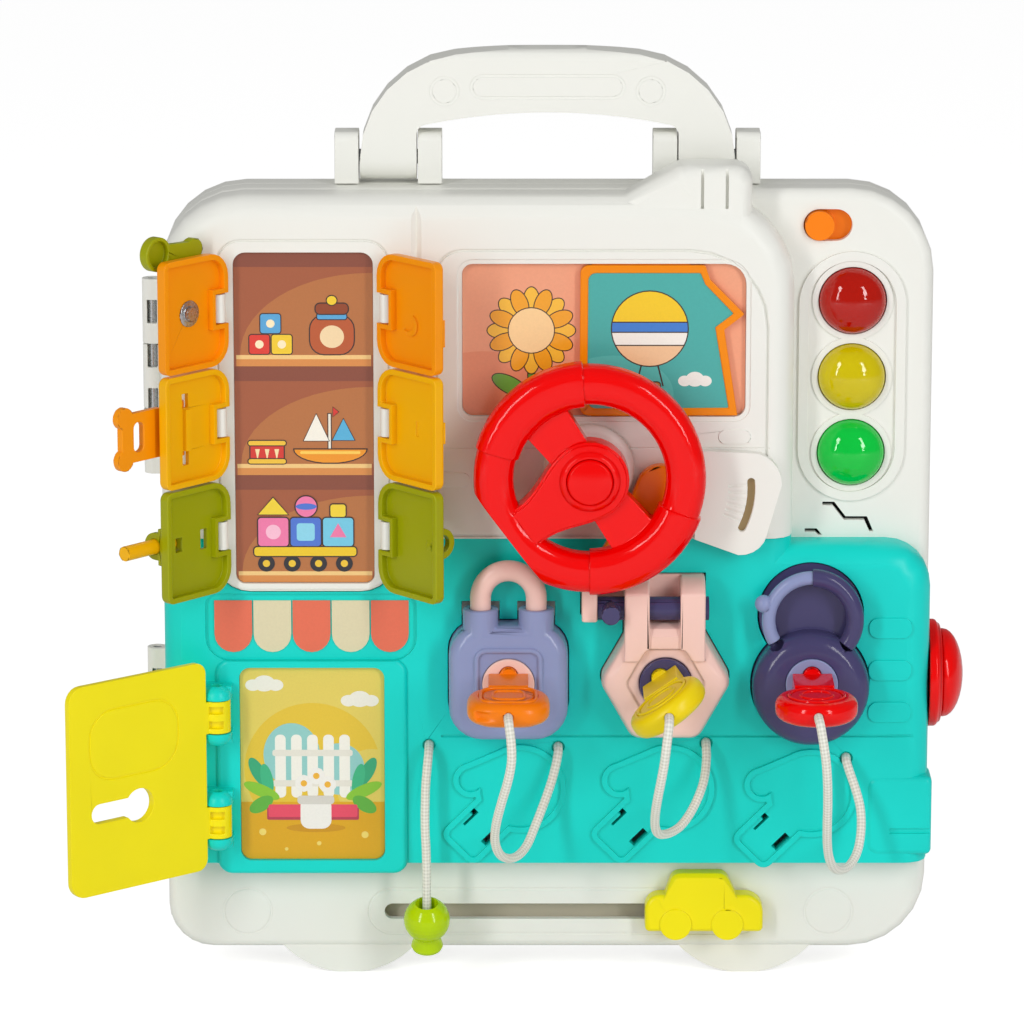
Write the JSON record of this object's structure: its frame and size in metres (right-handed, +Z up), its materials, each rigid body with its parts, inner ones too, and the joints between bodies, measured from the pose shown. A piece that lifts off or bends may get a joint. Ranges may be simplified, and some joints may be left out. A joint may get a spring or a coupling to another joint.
{
  "type": "busy board",
  "caption": "Bus-shaped busy board case with key locks, small doors, a steering wheel, push lights and sliders for toddlers to work.",
  "frame": {"origin": "bottom centre of the toy's bounding box, on the surface that its feet stand on, without the cords", "axes": "+Z up, the front with the locks and the wheel faces -Y, and +X is to the right seen from the front"},
  "size_m": [0.2991, 0.1015, 0.3154],
  "materials": {
    "shell_white": "satin moulded ABS",
    "panel_teal": "satin moulded ABS",
    "wheel_red": "glossy moulded ABS",
    "door_yellow": "glossy moulded ABS",
    "door_orange": "glossy moulded polypropylene",
    "door_amber": "glossy moulded polypropylene",
    "olive": "glossy moulded polypropylene",
    "lilac": "satin moulded ABS",
    "pink": "satin moulded ABS",
    "navy": "glossy moulded ABS",
    "key_orange": "glossy moulded ABS",
    "key_yellow": "glossy moulded ABS",
    "key_red": "glossy moulded ABS",
    "steel": "zinc plated",
    "red_clear": "translucent polystyrene",
    "yellow_clear": "translucent polystyrene",
    "green_clear": "translucent polystyrene",
    "print_brown": "printed film",
    "print_coral": "printed film",
    "print_yellow": "printed film",
    "print_awning": "printed film",
    "battery": "printed steel can",
    "board_green": "solder mask",
    "diode": "clear epoxy",
    "speaker_black": "moulded",
    "cord": "braided polyester",
    "bead_lime": "glossy moulded polypropylene"
  },
  "bodies": {
    "rear_half": {"rear_shell": "shell_white", "wheel_feet": "shell_white", "hinge_rods": "steel", "handle_pins": "steel"},
    "handle": {"carry_handle": "shell_white"},
    "front_half": {"front_base": "shell_white", "bus_shell": "shell_white", "lower_panel": "panel_teal", "back_plate": "shell_white", "battery_cover": "shell_white", "back_screws": "steel", "batteries": "battery", "circuit_board": "board_green", "light_diodes": "diode", "speaker": "speaker_black", "cupboard_picture": "print_brown", "window_picture": "print_coral", "house_picture": "print_yellow", "awning_stickers": "print_awning", "steering_base": "shell_white", "side_bezel": "wheel_red", "lock_one_body": "lilac", "lock_two_body": "pink", "lock_three_body": "navy", "key_cord_one": "cord", "key_cord_two": "cord", "key_cord_three": "cord", "bead_cord": "cord", "bead": "bead_lime"},
    "wheel": {"steering_wheel": "wheel_red"},
    "horn": {"horn_button": "wheel_red"},
    "lever": {"indicator_lever": "key_orange"},
    "switch": {"power_switch": "door_orange"},
    "red_light": {"red_lens": "red_clear"},
    "amber_light": {"amber_lens": "yellow_clear"},
    "green_light": {"green_lens": "green_clear"},
    "side_push": {"side_button": "wheel_red"},
    "car": {"car_slider": "door_yellow"},
    "pane": {"window_slider": "door_orange"},
    "door_tl": {"door_top_left": "door_orange", "latch_screw": "steel"},
    "door_ml": {"door_middle_left": "door_amber"},
    "door_bl": {"door_bottom_left": "olive"},
    "door_tr": {"door_top_right": "door_orange"},
    "door_mr": {"door_middle_right": "door_amber"},
    "door_br": {"door_bottom_right": "olive"},
    "latch": {"turn_latch": "olive"},
    "hasp_plate": {"hasp": "door_orange"},
    "bolt": {"slide_bolt": "door_amber"},
    "yellow_door": {"house_door": "door_yellow"},
    "lock_one_turning": {"lock_one_cylinder": "pink", "key_one": "key_orange"},
    "lock_two_turning": {"lock_two_cylinder": "navy", "key_two": "key_yellow"},
    "lock_three_turning": {"lock_three_cylinder": "lilac", "key_three": "key_red"},
    "shackle_one_moving": {"shackle_one": "pink"},
    "bolt_two_moving": {"bolt_two": "navy"},
    "shackle_three_moving": {"shackle_three": "lilac"}
  },
  "joints": [
    {"name": "case_hinge", "type": "hinge", "parent": "rear_half", "child": "front_half", "pos_m": [-0.12344, 0.0343, 0.135], "axis": [0, 0, -1], "range_deg": [0, 110]},
    {"name": "handle_fold", "type": "hinge", "parent": "rear_half", "child": "handle", "pos_m": [0.00876, 0.0378, 0.2785], "axis": [-1, 0, 0], "range_deg": [0, 90]},
    {"name": "door_top_left_hinge", "type": "hinge", "parent": "front_half", "child": "door_tl", "pos_m": [-0.09964, 0.0023, 0.234], "axis": [0, 0, -1], "range_deg": [-131, 5]},
    {"name": "door_middle_left_hinge", "type": "hinge", "parent": "front_half", "child": "door_ml", "pos_m": [-0.09964, 0.0023, 0.1956], "axis": [0, 0, -1], "range_deg": [-131, 5]},
    {"name": "door_bottom_left_hinge", "type": "hinge", "parent": "front_half", "child": "door_bl", "pos_m": [-0.09964, 0.0023, 0.1572], "axis": [0, 0, -1], "range_deg": [-131, 5]},
    {"name": "door_top_right_hinge", "type": "hinge", "parent": "front_half", "child": "door_tr", "pos_m": [-0.04424, 0.0023, 0.234], "axis": [0, 0, 1], "range_deg": [-131, 5]},
    {"name": "door_middle_right_hinge", "type": "hinge", "parent": "front_half", "child": "door_mr", "pos_m": [-0.04424, 0.0023, 0.1956], "axis": [0, 0, 1], "range_deg": [-131, 5]},
    {"name": "door_bottom_right_hinge", "type": "hinge", "parent": "front_half", "child": "door_br", "pos_m": [-0.04424, 0.0023, 0.1572], "axis": [0, 0, 1], "range_deg": [-131, 5]},
    {"name": "turn_latch_pivot", "type": "hinge", "parent": "door_tl", "child": "latch", "pos_m": [-0.1109, -0.00607, 0.234], "axis": [0.7547, -0.6561, 0], "range_deg": [0, 90]},
    {"name": "hasp_pivot", "type": "hinge", "parent": "door_ml", "child": "hasp_plate", "pos_m": [-0.11369, -0.00669, 0.1956], "axis": [0, 0, -1], "range_deg": [0, 100]},
    {"name": "slide_bolt_travel", "type": "slide", "parent": "door_bl", "child": "bolt", "axis": [-0.6561, -0.7547, 0], "range_m": [-0.0085, 0]},
    {"name": "house_door_hinge", "type": "hinge", "parent": "front_half", "child": "yellow_door", "pos_m": [-0.10174, 0.0013, 0.079], "axis": [0, 0, -1], "range_deg": [-140, 8]},
    {"name": "window_pane_slide", "type": "slide", "parent": "front_half", "child": "pane", "axis": [1, 0, 0], "range_m": [-0.036, 0]},
    {"name": "steering", "type": "hinge", "parent": "front_half", "child": "wheel", "pos_m": [0.02256, -0.0047, 0.1792], "axis": [0, -1, 0], "continuous": true},
    {"name": "horn_push", "type": "slide", "parent": "wheel", "child": "horn", "axis": [0, 1, 0], "range_m": [0, 0.0015], "stiffness_N_per_m": 300},
    {"name": "lever_pivot", "type": "hinge", "parent": "front_half", "child": "lever", "pos_m": [0.04636, 0.0063, 0.1726], "axis": [0, -1, 0], "range_deg": [-10, 10]},
    {"name": "power_switch_slide", "type": "slide", "parent": "front_half", "child": "switch", "axis": [1, 0, 0], "range_m": [0, 0.0056]},
    {"name": "red_light_push", "type": "slide", "parent": "front_half", "child": "red_light", "axis": [0, 1, 0], "range_m": [0, 0.002], "stiffness_N_per_m": 400},
    {"name": "amber_light_push", "type": "slide", "parent": "front_half", "child": "amber_light", "axis": [0, 1, 0], "range_m": [0, 0.002], "stiffness_N_per_m": 400},
    {"name": "green_light_push", "type": "slide", "parent": "front_half", "child": "green_light", "axis": [0, 1, 0], "range_m": [0, 0.002], "stiffness_N_per_m": 400},
    {"name": "side_button_push", "type": "slide", "parent": "front_half", "child": "side_push", "axis": [-1, 0, 0], "range_m": [0, 0.003], "stiffness_N_per_m": 400},
    {"name": "car_slide", "type": "slide", "parent": "front_half", "child": "car", "axis": [1, 0, 0], "range_m": [-0.095, 0.002]},
    {"name": "key_one_turn", "type": "hinge", "parent": "front_half", "child": "lock_one_turning", "pos_m": [-0.00424, -0.0037, 0.1074], "axis": [0, -1, 0], "range_deg": [0, 90]},
    {"name": "key_two_turn", "type": "hinge", "parent": "front_half", "child": "lock_two_turning", "pos_m": [0.04816, -0.0037, 0.1074], "axis": [0, -1, 0], "range_deg": [-35, 55]},
    {"name": "key_three_turn", "type": "hinge", "parent": "front_half", "child": "lock_three_turning", "pos_m": [0.09686, -0.0037, 0.1074], "axis": [0, -1, 0], "range_deg": [0, 90]},
    {"name": "shackle_one_lift", "type": "slide", "parent": "front_half", "child": "shackle_one_moving", "axis": [0, 0, 1], "range_m": [0, 0.008]},
    {"name": "bolt_two_turn", "type": "hinge", "parent": "front_half", "child": "bolt_two_moving", "pos_m": [0.04816, 0.0013, 0.1323], "axis": [1, 0, 0], "range_deg": [-35, 55]},
    {"name": "shackle_three_turn", "type": "hinge", "parent": "front_half", "child": "shackle_three_moving", "pos_m": [0.09686, 0.0008, 0.1284], "axis": [0, 1, 0], "range_deg": [0, 60]}
  ],
  "couplings": [
    {"joint": "key_one_turn", "follows": "shackle_one_lift", "rad_per_m": 196.34},
    {"joint": "bolt_two_turn", "follows": "key_two_turn", "ratio": 1},
    {"joint": "shackle_three_turn", "follows": "key_three_turn", "ratio": 0.6666}
  ]
}
